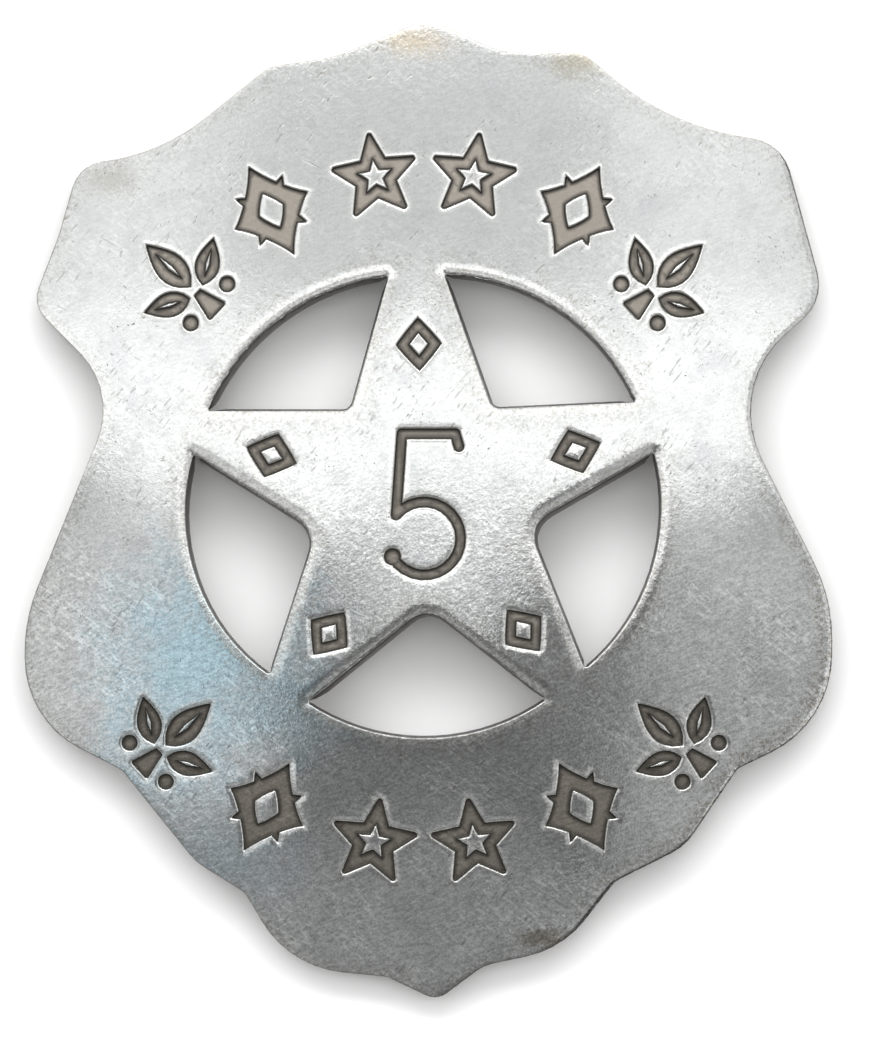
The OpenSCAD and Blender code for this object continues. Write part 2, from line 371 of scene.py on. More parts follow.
class Wiring:
    """Adds nodes to a shader tree and joins them, so that a finish reads as a recipe."""

    def __init__(self, tree: Tree) -> None:
        """Starts with an existing tree."""
        self.tree = tree

    def add(self, kind: str, inputs: dict | None = None, **settings: object) -> bpy.types.Node:
        """Adds one node.

        Args:
            kind: The node's type without its ShaderNode prefix.
            inputs: Values or sockets by the input's name or number.
            settings: The node's own properties.

        Returns:
            The node.
        """
        node = self.tree.nodes.new("ShaderNode" + kind)
        for key, value in settings.items():
            setattr(node, key, value)
        for key, value in (inputs or {}).items():
            self.join(value, node.inputs[key])
        return node

    def join(self, value: object, socket: Socket) -> None:
        """Links a socket to an input, or sets the input to a plain value.

        Args:
            value: An output socket, a number or a tuple, which for a colour holds three numbers.
            socket: The input.
        """
        if isinstance(value, bpy.types.NodeSocket):
            self.tree.links.new(value, socket)
        elif isinstance(value, tuple) and socket.type == "RGBA":
            socket.default_value = (*value, 1)
        else:
            socket.default_value = value

    def maths(self, operation: str, first: object, second: object) -> Socket:
        """The result of a Math node."""
        return self.add("Math", {0: first, 1: second}, operation=operation).outputs[0]

    def times(self, first: object, second: object) -> Socket:
        """The product of two values."""
        return self.maths("MULTIPLY", first, second)

    def plus(self, first: object, second: object) -> Socket:
        """The sum of two values."""
        return self.maths("ADD", first, second)

    def minus(self, first: object, second: object) -> Socket:
        """The difference of two values."""
        return self.maths("SUBTRACT", first, second)

    def either(self, first: object, second: object) -> Socket:
        """The greater of two masks."""
        return self.maths("MAXIMUM", first, second)

    def fade(self, value: object, start: float, end: float, low: float = 0.0, high: float = 1.0) -> Socket:
        """A smooth change from low to high while value goes from start to end."""
        inputs = {"Value": value, "From Min": start, "From Max": end, "To Min": low, "To Max": high}
        return self.add("MapRange", inputs, interpolation_type="SMOOTHSTEP").outputs[0]

    def noise(self, vector: object, scale: float, detail: float = 2.0, roughness: float = 0.5,
              distortion: float = 0.0) -> Socket:
        """Adds a Noise Texture.

        Args:
            vector: The place in millimetres.
            scale: Its cycles per millimetre.
            detail: How many finer layers it has.
            roughness: How strong the finer layers are.
            distortion: How far it is warped.

        Returns:
            The noise, from 0 to 1.
        """
        inputs = {"Vector": vector, "Scale": scale, "Detail": detail, "Roughness": roughness,
                  "Distortion": distortion}
        return self.add("TexNoise", inputs).outputs[0]

    def mix(self, share: object, first: object, second: object, blend: str = "MIX") -> Socket:
        """Mixes two colours.

        Args:
            share: How much of the second colour there is, from 0 to 1.
            first: The first colour.
            second: The second colour.
            blend: The Mix node's way of mixing.

        Returns:
            The mixed colour.
        """
        node = self.add("Mix", data_type="RGBA", blend_type=blend)
        for value, socket in ((share, node.inputs[0]), (first, node.inputs[6]), (second, node.inputs[7])):
            self.join(value, socket)
        return node.outputs[2]

    def blend(self, share: object, first: object, second: object) -> Socket:
        """Mixes two numbers.

        Args:
            share: How much of the second number there is, from 0 to 1.
            first: The first number.
            second: The second number.

        Returns:
            The mixed number.
        """
        node = self.add("Mix", data_type="FLOAT")
        for value, socket in ((share, node.inputs[0]), (first, node.inputs[2]), (second, node.inputs[3])):
            self.join(value, socket)
        return node.outputs[0]

    def attribute(self, name: str) -> Socket:
        """A distance in millimetres that the mesh holds for each point."""
        return self.add("Attribute", attribute_name=name).outputs["Fac"]

    def millimetres(self) -> Socket:
        """The place on the badge in millimetres."""
        place = self.add("TexCoord").outputs["Object"]
        return self.add("VectorMath", {0: place, "Scale": 1 / MM}, operation="SCALE").outputs[0]

    def stretched(self, place: object, turn: float, length: float, fineness: float) -> Socket:
        """Turns and scales the place, so that a noise of scale 1 gives streaks.

        Args:
            place: The place in millimetres.
            turn: The turn about Z, in radians.
            length: The streaks' length in millimetres.
            fineness: How many streaks there are to a millimetre.

        Returns:
            The turned and scaled place.
        """
        turned = self.add("VectorRotate", {"Vector": place, "Angle": turn}, rotation_type="Z_AXIS")
        across = (1 / length, fineness, 1.0)
        return self.add("VectorMath", {0: turned.outputs[0], 1: across}, operation="MULTIPLY").outputs[0]

    def use(self, group: Tree, inputs: dict) -> bpy.types.Node:
        """Places a node group with its own values."""
        return self.add("Group", inputs, node_tree=group)


def new_material(name: str) -> tuple[bpy.types.Material, Sockets]:
    """Starts a material.

    Args:
        name: The material's name.

    Returns:
        The material, and its shader's inputs by name.
    """
    material = bpy.data.materials.new(name)
    material.use_nodes = True
    return material, material.node_tree.nodes["Principled BSDF"].inputs


def new_group(name: str, *outputs: str, **inputs: float) -> tuple[Wiring, Sockets, Sockets]:
    """Starts a shader node group that works on the place in millimetres.

    Args:
        name: The group's name.
        outputs: The names of the values that it gives.
        inputs: The numbers that it takes beside the place, with their first values.

    Returns:
        The group's wiring, the sockets that it takes and those that it gives, by name.
    """
    tree = bpy.data.node_groups.new(name, "ShaderNodeTree")
    tree.interface.new_socket("Place", in_out="INPUT", socket_type="NodeSocketVector")
    for label, value in inputs.items():
        socket = tree.interface.new_socket(label, in_out="INPUT", socket_type="NodeSocketFloat")
        socket.default_value = value
    for label in outputs:
        tree.interface.new_socket(label, in_out="OUTPUT", socket_type="NodeSocketFloat")
    given, result = tree.nodes.new("NodeGroupInput"), tree.nodes.new("NodeGroupOutput")
    return Wiring(tree), given.outputs, result.inputs


def orange_peel() -> Tree:
    """Makes the pebbled grain of old stamped sheet, as a height, and its frosting, as light and dark.

    Returns:
        The shader group.
    """
    wiring, given, result = new_group("orange_peel", "Height", "Frost")
    place = given["Place"]
    fine = wiring.times(wiring.noise(place, 7.0, 2.0, 0.6), 0.5)
    middle = wiring.times(wiring.noise(place, 3.4, 2.0, 0.5, 0.3), 0.55)
    broad = wiring.times(wiring.noise(place, 1.1, 3.0, 0.6, 0.4), 0.75)
    wiring.join(wiring.plus(wiring.plus(fine, middle), broad), result["Height"])
    wiring.join(wiring.fade(wiring.noise(place, 6.5, 3.0, 0.7, 0.4), 0.3, 0.7), result["Frost"])
    return wiring.tree


def hairlines() -> Tree:
    """Makes scratches that run one way, gathered in patches.

    Returns:
        The shader group.
    """
    wiring, given, result = new_group("hairlines", "Mask", Turn=0, Density=0.5, Length=8, Fineness=3)
    turned = wiring.add("VectorRotate", {"Vector": given["Place"], "Angle": given["Turn"]},
                        rotation_type="Z_AXIS")
    across = wiring.add("CombineXYZ", {0: wiring.maths("DIVIDE", 1.0, given["Length"]),
                                       1: given["Fineness"], 2: 1.0})
    drawn_out = wiring.add("VectorMath", {0: turned.outputs[0], 1: across.outputs[0]}, operation="MULTIPLY")
    lines = wiring.noise(drawn_out.outputs[0], 1.0, 2.0, 0.5, 0.15)
    limit = wiring.fade(given["Density"], 0, 1, 0.8, 0.55)
    above = wiring.fade(wiring.minus(lines, limit), 0.0, 0.04)
    patches = wiring.fade(wiring.noise(given["Place"], 0.2, 1.0), 0.45, 0.6)
    wiring.join(wiring.times(above, patches), result["Mask"])
    return wiring.tree


def specks() -> Tree:
    """Makes small dark spots of corrosion, gathered in patches.

    Returns:
        The shader group.
    """
    wiring, given, result = new_group("specks", "Mask", Amount=0.5)
    spots = wiring.noise(given["Place"], 4.3, 2.0, 0.7, 0.8)
    patches = wiring.noise(given["Place"], 0.25, 2.0, 0.5)
    limit = wiring.minus(wiring.fade(patches, 0.35, 0.65, 0.80, 0.68), wiring.times(given["Amount"], 0.08))
    wiring.join(wiring.fade(wiring.minus(spots, limit), 0.0, 0.06), result["Mask"])
    return wiring.tree


def worn_edge() -> Tree:
    """Makes a band beside a rim, with an uneven inner border.

    Returns:
        The shader group.
    """
    wiring, given, result = new_group("worn_edge", "Mask", Gap=0, Width=1, Unevenness=0.5)
    ragged = wiring.minus(wiring.noise(given["Place"], 0.9, 3.0, 0.65), 0.5)
    wander = wiring.times(wiring.times(ragged, 3.0), given["Unevenness"])
    share = wiring.plus(wiring.maths("DIVIDE", given["Gap"], given["Width"]), wander)
    wiring.join(wiring.fade(share, 1.0, 0.35), result["Mask"])
    return wiring.tree


@dataclass
class Effects:
    """The shader groups that both metals share."""

    peel: Tree = field(default_factory=orange_peel)
    hairlines: Tree = field(default_factory=hairlines)
    specks: Tree = field(default_factory=specks)
    worn_edge: Tree = field(default_factory=worn_edge)


@dataclass(frozen=True)
class Patch:
    """A round place on the face with a ragged border, in millimetres."""

    x: float
    y: float
    reach_x: float
    reach_y: float
    strength: float
    raggedness: float = 1.6
    all_depths: float = 1000.0

    def mask(self, wiring: Wiring, place: object, ragged: object) -> Socket:
        """The patch's strength over the face.

        Args:
            wiring: The material's wiring.
            place: The place in millimetres.
            ragged: A noise value that breaks up the border.

        Returns:
            A value from nothing to the patch's strength.
        """
        placed = wiring.add("Mapping", {"Vector": place}, vector_type="TEXTURE")
        placed.inputs["Location"].default_value = (self.x, self.y, 0)
        placed.inputs["Scale"].default_value = (self.reach_x, self.reach_y, self.all_depths)
        away = wiring.add("VectorMath", {0: placed.outputs[0]}, operation="LENGTH").outputs["Value"]
        uneven = wiring.plus(away, wiring.times(wiring.minus(ragged, 0.5), self.raggedness))
        return wiring.fade(uneven, 1.05, 0.1, 0.0, self.strength)


@dataclass(frozen=True)
class WornNickel:
    """The plate's metal: worn and satin on the face, tarnished in the marks and on the cut walls, with a
    painted highlight beside the rims and painted shade in the marks and on the cut walls.
    """

    bare: Colour = (0.432, 0.441, 0.437)
    aged: Colour = (0.365, 0.377, 0.378)
    # Worn bright metal, made brighter still as a painted highlight of the rims' sheen.
    burnish_and_sheen: Colour = (0.55, 0.55, 0.53)
    speck: Colour = (0.10, 0.088, 0.07)
    # Also the colour of the painted dark line of shade along the outline.
    rust_and_edge_shade: Colour = (0.21, 0.185, 0.15)
    # The marks' floors, lighter at the top and darker towards the bottom: painted shade.
    floor_up: Colour = (0.235, 0.213, 0.183)
    floor_star: Colour = (0.185, 0.168, 0.143)
    floor_down: Colour = (0.13, 0.118, 0.10)
    # Near black on the marks' walls, at their floors' edges and beside them: painted shade.
    wall_painted_shade: Colour = (0.03, 0.026, 0.02)
    # The cut walls: partly oxide and partly painted shade, and lighter at the foot as painted light.
    cut: Colour = (0.05, 0.045, 0.038)
    cut_foot_painted_light: Colour = (0.14, 0.13, 0.112)
    back: Colour = (0.17, 0.158, 0.138)
    satin: Pair = (0.11, 0.15)
    matt: float = 0.5
    floor_metal: float = 0.45
    peel_height: float = 0.016 * MM
    least_grain: float = 0.45
    strong_grain: Patch = Patch(2.0, -5.0, 12.0, 10.0, 0.75)
    stains: tuple[tuple[Patch, Colour], ...] = (
        (Patch(-15.5, -10.0, 10.5, 10.0, 0.9), (0.31, 0.44, 0.50)),
        (Patch(-18.5, -17.5, 8.0, 6.0, 0.7), (0.33, 0.43, 0.48)),
        (Patch(-9.5, -14.0, 7.0, 5.0, 0.7), (0.34, 0.43, 0.47)),
        (Patch(-14.5, -24.5, 8.0, 5.5, 0.7), (0.33, 0.39, 0.42)),
        (Patch(-0.8, 33.2, 3.4, 1.8, 0.75), (0.42, 0.36, 0.27)),
        (Patch(11.0, 31.8, 3.4, 1.6, 0.7), (0.30, 0.28, 0.21)),
        (Patch(8.0, -30.3, 2.6, 0.9, 0.7), (0.16, 0.14, 0.105)),
        (Patch(-22.5, 23.3, 3.0, 1.6, 0.5), (0.26, 0.25, 0.22)),
    )

    def make(self, effects: Effects) -> bpy.types.Material:
        """Builds the plate's material.

        Args:
            effects: The shared shader groups.

        Returns:
            The material.
        """
        material, shader = new_material("worn_nickel")
        finish = PlateFinish(material.node_tree, self, effects)
        finish.join(finish.mottled(finish.sunk_colour(finish.face_colour())), shader["Base Color"])
        finish.join(finish.roughness(), shader["Roughness"])
        finish.join(finish.metalness(), shader["Metallic"])
        finish.join(finish.relief(), shader["Normal"])
        return material


class PlateFinish(Wiring):
    """The wiring of the plate's material, with the sockets that its colour, gloss and relief share."""

    def __init__(self, tree: Tree, metal: WornNickel, effects: Effects) -> None:
        """Finds the distances in millimetres, the masks of the kinds of surface and the signs of age.

        Args:
            tree: The material's nodes.
            metal: The metal's colours and strengths.
            effects: The shared shader groups.
        """
        super().__init__(tree)
        self.metal, self.effects = metal, effects
        self.place = self.millimetres()
        self.across, self.height = self.add("SeparateXYZ", {0: self.place}).outputs[:2]
        self.depth = self.attribute(DEPTH)
        self.opening, self.outline, self.mark = (self.attribute(rim.value) for rim in Rim)
        # The marks' walls, their floors' edges and a thin band of face beside them, which get the
        # near-black painted shade.
        self.mark_wall = self.fade(self.mark, 0.06, 0.02)
        self.floor = self.fade(self.mark, -0.02, -0.10)
        self.cut_wall = self.times(self.fade(self.depth, 0.20, 0.30), self.fade(self.mark, 0.0, 0.02))
        self.back = self.fade(self.depth, 1.15, 1.3)
        self.walls = self.either(self.mark_wall, self.cut_wall)
        self.clouds = self.noise(self.place, 0.35, 4.0, 0.6)
        peel = self.use(effects.peel, {"Place": self.place})
        self.grain, self.frost = peel.outputs["Height"], peel.outputs["Frost"]
        self.spots = self.sign(effects.specks, Amount=0.65)
        self.scratched = self.either(
            self.sign(effects.hairlines, Turn=0.5, Density=0.35),
            self.sign(effects.hairlines, Turn=-0.9, Density=0.6, Length=1.1, Fineness=4.0))

    def sign(self, group: Tree, **inputs: object) -> Socket:
        """The mask that a shader group gives for one sign of age."""
        return self.use(group, {"Place": self.place, **inputs}).outputs[0]

    def face_colour(self) -> Socket:
        """Colours the face, with its stains, rims worn bright with a painted highlight, browned rims,
        scratches, specks and a painted dark line of shade along the outline.
        """
        metal = self.metal
        colour = self.mix(self.fade(self.clouds, 0.42, 0.7, 0.0, 0.7), metal.bare, metal.aged)
        ragged = self.plus(self.times(self.clouds, 0.75), self.times(self.frost, 0.25))
        for patch, tint in metal.stains:
            colour = self.mix(patch.mask(self, self.place, ragged), colour, tint)
        # Worn bright metal beside the marks and openings, with a painted highlight in it.
        colour = self.mix(self.burnish_and_sheen(), colour, metal.burnish_and_sheen)
        colour = self.mix(self.browned(), colour, metal.rust_and_edge_shade)
        colour = self.mix(self.times(self.scratched, 0.38), colour, metal.speck)
        colour = self.mix(self.times(self.spots, 0.7), colour, metal.speck)
        # A dark line along the outline's edge: painted shade.
        return self.mix(self.fade(self.outline, 0.10, 0.02, 0.0, 0.65), colour, metal.rust_and_edge_shade)

    def burnish_and_sheen(self) -> Socket:
        """Finds where the metal is painted bright beside the marks and the openings: partly handling wear,
        partly a painted highlight of the rounded rims.

        Returns:
            A mask, strongest where the metal is brightest.
        """
        band = self.effects.worn_edge
        by_marks = self.sign(band, Gap=self.mark, Width=0.55, Unevenness=0.25)
        by_openings = self.sign(band, Gap=self.opening, Width=0.8, Unevenness=0.2)
        return self.either(self.times(by_marks, 0.55), self.times(by_openings, 0.6))

    def browned(self) -> Socket:
        """Finds where brown grit sits: beside the openings and the outline, and most at the lower right.

        Returns:
            A mask, strongest where there is most grit.
        """
        band = self.effects.worn_edge
        by_outline = self.sign(band, Gap=self.outline, Width=1.6, Unevenness=0.6)
        by_openings = self.sign(band, Gap=self.opening, Width=2.2, Unevenness=0.7)
        lower_right = self.times(self.fade(self.across, 5.0, 22.0), self.fade(self.height, 5.0, -8.0))
        bands = self.either(self.times(by_outline, self.blend(lower_right, 0.32, 0.75)),
                            self.times(by_openings, 0.38))
        grit = self.fade(self.noise(self.place, 4.0, 3.0, 0.7, 0.5), 0.48, 0.60)
        return self.times(bands, grit)

    def sunk_colour(self, colour: object) -> Socket:
        """Adds what lies below the face: the back, the marks' walls and floors and the cut walls, with
        painted shade on the marks' walls, at their floors' edges, on the lower floors and on the cut walls,
        and painted light at the cut walls' foot.

        Args:
            colour: The face's colour.

        Returns:
            The colour of the whole plate.
        """
        metal = self.metal
        colour = self.mix(self.back, colour, metal.back)
        # Near-black painted shade on the marks' walls and the band of face beside them.
        colour = self.mix(self.mark_wall, colour, metal.wall_painted_shade)
        # The marks' floors lighter at the top and darker towards the bottom: painted shade.
        floor = self.mix(self.fade(self.height, -10.0, -14.0), metal.floor_star, metal.floor_down)
        floor = self.mix(self.fade(self.height, 15.0, 11.0), metal.floor_up, floor)
        # The floors darker near the walls: painted shade in the recess.
        floor = self.mix(self.fade(self.mark, -0.32, -0.08, 0.0, 0.75), floor, metal.wall_painted_shade)
        colour = self.mix(self.floor, colour, floor)
        # The cut walls dark, partly oxide and partly painted shade, and lighter at the foot: painted light.
        cut = self.mix(self.fade(self.depth, 0.95, 1.25), metal.cut, metal.cut_foot_painted_light)
        return self.mix(self.cut_wall, colour, cut)

    def mottled(self, colour: object) -> Socket:
        """Varies the brightness in frosting, flecks and bright nicks, which are coarser lower down.

        Args:
            colour: The even colour.

        Returns:
            The uneven colour.
        """
        wandering = self.plus(self.height, self.times(self.noise(self.place, 0.12), 24.0))
        coarseness = self.fade(wandering, 22.0, 4.0, 0.3, 1.0)
        flecks = self.noise(self.stretched(self.place, -0.35, 0.55, 5.0), 1.0, 2.0, 0.6)
        nicks = self.sign(self.effects.hairlines, Turn=0.65, Density=1.0, Length=0.9, Fineness=4.0)
        mottle = self.plus(self.fade(self.frost, 0.0, 1.0, -0.18, 0.18),
                           self.fade(flecks, 0.3, 0.7, -0.16, 0.16))
        mottle = self.plus(mottle, self.times(nicks, 0.28))
        level = self.plus(1.0, self.times(mottle, coarseness))
        grey = self.add("CombineColor", {0: level, 1: level, 2: level}).outputs[0]
        return self.mix(1.0, colour, grey, "MULTIPLY")

    def roughness(self) -> Socket:
        """Makes the face satin, and its specks, the marks, the cut walls and the back matt.

        Returns:
            The roughness.
        """
        metal = self.metal
        rough = self.fade(self.clouds, 0.3, 0.7, *metal.satin)
        rough = self.blend(self.spots, rough, metal.matt)
        below = self.either(self.either(self.walls, self.back), self.floor)
        return self.blend(below, rough, metal.matt)

    def metalness(self) -> Socket:
        """Bare metal on the face, half covered in the marks' floors and covered on all walls."""
        return self.blend(self.floor, self.blend(self.walls, 1.0, 0.0), self.metal.floor_metal)

    def relief(self) -> Socket:
        """Raises the grain and sinks the scratches.

        Returns:
            The shader's normal.
        """
        metal = self.metal
        strength = self.plus(metal.strong_grain.mask(self, self.place, 0.5), metal.least_grain)
        relief = self.plus(self.times(self.grain, strength), self.times(self.scratched, -0.15))
        bump = self.add("Bump", {"Height": relief, "Distance": metal.peel_height, "Strength": 1.0})
        return bump.outputs[0]


@dataclass(frozen=True)
class DullNickel:
    """The pin's metal: handled, dull and tarnished in clouds and specks."""

    bare: Colour = (0.56, 0.54, 0.50)
    tarnish: Colour = (0.25, 0.22, 0.18)
    grain_height: float = 0.006 * MM

    def make(self, effects: Effects) -> bpy.types.Material:
        """Builds the pin's material.

        Args:
            effects: The shared shader groups.

        Returns:
            The material.
        """
        material, shader = new_material("dull_nickel")
        wiring = Wiring(material.node_tree)
        place = wiring.millimetres()
        peel = wiring.use(effects.peel, {"Place": place})
        spots = wiring.use(effects.specks, {"Place": place, "Amount": 0.8})
        scratches = wiring.use(effects.hairlines, {"Place": place, "Turn": 0.1, "Density": 0.7})
        cloud = wiring.fade(wiring.noise(place, 0.5, 3.0, 0.6), 0.4, 0.65)
        colour = wiring.mix(wiring.times(cloud, 0.6), self.bare, self.tarnish)
        colour = wiring.mix(wiring.times(spots.outputs[0], 0.7), colour, self.tarnish)
        wiring.join(colour, shader["Base Color"])
        wiring.join(wiring.blend(cloud, 0.3, 0.45), shader["Roughness"])
        wiring.join(wiring.blend(spots.outputs[0], 1.0, 0.7), shader["Metallic"])
        height = wiring.plus(peel.outputs["Height"], wiring.times(scratches.outputs[0], -0.4))
        bump = wiring.add("Bump", {"Height": height, "Distance": self.grain_height, "Strength": 1.0})
        wiring.join(bump.outputs[0], shader["Normal"])
        return material


@dataclass(frozen=True)
class Dent:
    """A soft hollow or swelling in the plate."""

    x: float
    y: float
    reach: float
    depth: float

    def shift(self, points: Array) -> Array:
        """How far each point goes down."""
        away = np.hypot(points[:, 0] - self.x, points[:, 1] - self.y) / self.reach
        return self.depth * np.exp(-(away**2))


@dataclass
class Part:
    """A piece of the badge, which is modelled from a copy of its CAD node and stands in for it."""

    name: str
    node: str
    slot: str
    metal: WornNickel | DullNickel
    body: str = "root"

    def build(self, frame: dict, effects: Effects) -> Workpiece:
        """Models and dresses the piece.

        Args:
            effects: The shared shader groups.

        Returns:
            The finished piece.
        """
        piece = Workpiece(frame["nodes"][self.node], self.name)
        self.model(piece)
        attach(piece.obj, self.body)
        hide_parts(self.node)
        piece.dress(self.metal.make(effects))
        return piece

    def model(self, piece: Workpiece) -> None:
        """Gives the copy of the CAD node its finer shape."""
        raise NotImplementedError


@dataclass
class BadgePlate(Part):
    """The shield, its ring and its star: one domed and pierced sheet with stamped marks."""

    name: str = "shield_plate"
    node: str = "badge_plate"
    slot: str = "plate_metal"
    metal: WornNickel = WornNickel()
    dome: Dome = field(default_factory=Dome)
    thickness: float = 1.5 * MM
    mark_depth: float = 0.4 * MM
    ring_centre: Pair = (-0.3 * MM, 0.4 * MM)
    ring_inside: float = 16.1 * MM
    ring_middle: float = 17.6 * MM
    shoulder: Rounding = Rounding(0.85 * MM, 0.12 * MM, 0.10 * MM, 0.10 * MM)
    border: Rounding = Rounding(0.40 * MM, 0.07 * MM, 0.05 * MM, 0.05 * MM)
    lip: Rounding = Rounding(0.42 * MM, 0.05 * MM, 0.14 * MM, 0.20 * MM)
    fillet: Rounding = Rounding(0.25 * MM, 0.02 * MM, 0.10 * MM, 0.10 * MM)
    under: Rounding = Rounding(0.30 * MM, 0.05 * MM, 0.30 * MM, 0.15 * MM)
    rim_rings: tuple[float, ...] = (0.035 * MM, 0.11 * MM)
    lip_rings: tuple[float, ...] = (0.05 * MM, 0.15 * MM)
    fillet_rings: tuple[float, ...] = (0.035 * MM, 0.10 * MM)
    under_rings: tuple[float, ...] = (0.09 * MM, 0.30 * MM)
    rim_reach: float = 0.02 * MM
    flat_weld: float = 0.02 * MM
    flat_angle: float = math.radians(1)
    smooth_angle: float = math.radians(60)
    levelness: float = 0.5
    draft: float = 0.14 * MM
    draft_towards_foot: float = 0.4
    draft_lower_right: float = 1.6
    lower_right: Pair = (0.77, -0.64)
    opening_wear: tuple[float, float, float] = (0.15, 0.6, 0.5)
    outline_wear: Pair = (0.08, 0.9)
    grid_step: float = 0.9 * MM
    fine_share: float = 1 / 3
    waviness: float = 0.03 * MM
    wave_length: float = 9 * MM
    dents: tuple[Dent, ...] = (
        Dent(0.5 * MM, -12.5 * MM, 7.5 * MM, -0.25 * MM),
        Dent(-20.0 * MM, -2.0 * MM, 7.0 * MM, 0.04 * MM),
        Dent(18.0 * MM, 22.0 * MM, 8.0 * MM, -0.04 * MM),
    )

    def model(self, piece: Workpiece) -> None:
        """Presses the plate flat, cuts the edges that its roundings need, and rounds and domes it.

        Args:
            piece: The copy of the CAD node.
        """
        self.press_flat(piece)
        rims = self.find_rims(piece)
        self.cut_rings(piece)
        piece.cut_grid(self.grid_step, np.full(len(piece.mesh.polygons), True))
        piece.cut_grid(self.grid_step * self.fine_share, self.beside_rims(piece, rims))
        self.taper_openings(piece, rims[Rim.OPENING])
        normals = self.shape(piece, rims)
        piece.smooth(self.smooth_angle)
        piece.set_normals(normals)

    def press_flat(self, piece: Workpiece) -> None:
        """Flattens the dome, so that the face, the marks' floors and the back are three level planes.

        Args:
            piece: The domed plate.
        """
        flat = self.dome.flatten(piece.points)
        levels = np.array([0.0, -self.mark_depth, -self.thickness])
        nearest = np.abs(flat[:, 2, None] - levels).argmin(1)
        flat[:, 2] = levels[nearest]
        piece.points = flat
        piece.merge_and_dissolve(self.flat_weld, self.flat_angle)

    def surfaces(self, piece: Workpiece) -> Array:
        """Sorts the faces by the surface that they belong to.

        Args:
            piece: The flattened plate.

        Returns:
            Each face's kind of surface.
        """
        upward = piece.face_normals[:, 2]
        lowest = piece.over_faces(piece.points[:, 2], np.min)
        kinds = np.full(len(upward), Surface.MARK_WALL)
        kinds[(np.abs(upward) < self.levelness) & (lowest < -2 * self.mark_depth)] = Surface.OUTER_WALL
        kinds[(upward > self.levelness) & (lowest > -self.mark_depth / 2)] = Surface.FACE
        kinds[(upward > self.levelness) & (lowest < -self.mark_depth / 2)] = Surface.FLOOR
        kinds[upward < -self.levelness] = Surface.BACK
        return kinds

    def find_rims(self, piece: Workpiece) -> dict[Rim, RimLine]:
        """Finds the rims of the openings, the outline and the marks.

        Args:
            piece: The flattened plate.

        Returns:
            The straight pieces of each kind of rim.
        """
        kinds = self.surfaces(piece)
        beside: dict[tuple[int, int], set[Surface]] = {}
        for face, kind in zip(piece.mesh.polygons, kinds):
            for key in face.edge_keys:
                beside.setdefault(key, set()).add(kind)
        points = piece.points[:, :2]
        pairs: dict[Rim, list[tuple[int, int]]] = {rim: [] for rim in Rim}
        for key, found in beside.items():
            middle = points[list(key)].mean(0) - self.ring_centre
            if found == {Surface.FACE, Surface.MARK_WALL}:
                pairs[Rim.MARK].append(key)
            elif found == {Surface.FACE, Surface.OUTER_WALL}:
                inside = np.hypot(*middle) < self.ring_middle
                pairs[Rim.OPENING if inside else Rim.OUTLINE].append(key)
        return {rim: RimLine(*points[np.array(keys)].transpose(1, 0, 2)) for rim, keys in pairs.items()}

    def cut_rings(self, piece: Workpiece) -> None:
        """Cuts rings of edges along every rim, to carry the roundings.

        Args:
            piece: The flattened plate.
        """
        kinds = self.surfaces(piece)
        piece.inset(np.isin(kinds, [Surface.FACE, Surface.FLOOR, Surface.MARK_WALL]), self.rim_rings)
        piece.inset(self.surfaces(piece) == Surface.BACK, self.under_rings)
        kinds = self.surfaces(piece)
        piece.inset((kinds != Surface.FLOOR) & (kinds != Surface.MARK_WALL), self.lip_rings)
        piece.inset(self.surfaces(piece) == Surface.FLOOR, self.fillet_rings)

    def beside_rims(self, piece: Workpiece, rims: dict[Rim, RimLine]) -> Array:
        """Finds the upper faces that a rounding reaches, which need a finer grid.

        Args:
            piece: The flattened plate.
            rims: The rims of the face.

        Returns:
            True for each of those faces.
        """
        points = piece.points
        reached = np.full(len(points), False)
        for rim, rounding in self.roundings.items():
            reached |= rims[rim].nearest(points)[0] < rounding.slope_width
        upper = np.isin(self.surfaces(piece), [Surface.FACE, Surface.FLOOR])
        return upper & piece.over_faces(reached, np.any)

    @property
    def roundings(self) -> dict[Rim, Rounding]:
        """How the face is rounded at each kind of rim."""
        return {Rim.OPENING: self.shoulder, Rim.OUTLINE: self.border, Rim.MARK: self.lip}

    def taper_openings(self, piece: Workpiece, rim: RimLine) -> None:
        """Moves the lower rims of the openings inwards, because the cut walls aren't upright.

        Args:
            piece: The flattened plate.
            rim: The openings' rims in the face.
        """
        facing = np.zeros((len(piece.mesh.vertices), 2))
        for face, kind in zip(piece.mesh.polygons, self.surfaces(piece)):
            if kind == Surface.OUTER_WALL:
                facing[list(face.vertices)] += face.normal[:2]
        facing /= np.maximum(np.linalg.norm(facing, axis=1), TINY)[:, None]
        flat = piece.points
        reach = np.hypot(*(flat[:, :2] - self.ring_centre).T)
        middles = (rim.starts + rim.ends) / 2 - self.ring_centre
        on_ring = np.hypot(*middles.T) > self.ring_inside
        to_star, to_ring = (rim.part(chosen).nearest(flat)[0] for chosen in (~on_ring, on_ring))
        room = np.where(reach > self.ring_inside, to_star, to_ring) / 2
        to_foot = np.maximum(0, -facing[:, 1])
        to_lower_right = np.maximum(0, facing @ np.array(self.lower_right))
        lean = self.draft * (1 + self.draft_towards_foot * to_foot
                             + self.draft_lower_right * to_lower_right**2)
        lower = (flat[:, 2] < -2 * self.mark_depth) & (reach < self.ring_middle)
        flat[:, :2] += facing * (np.minimum(lean, room) * lower)[:, None]
        piece.points = flat

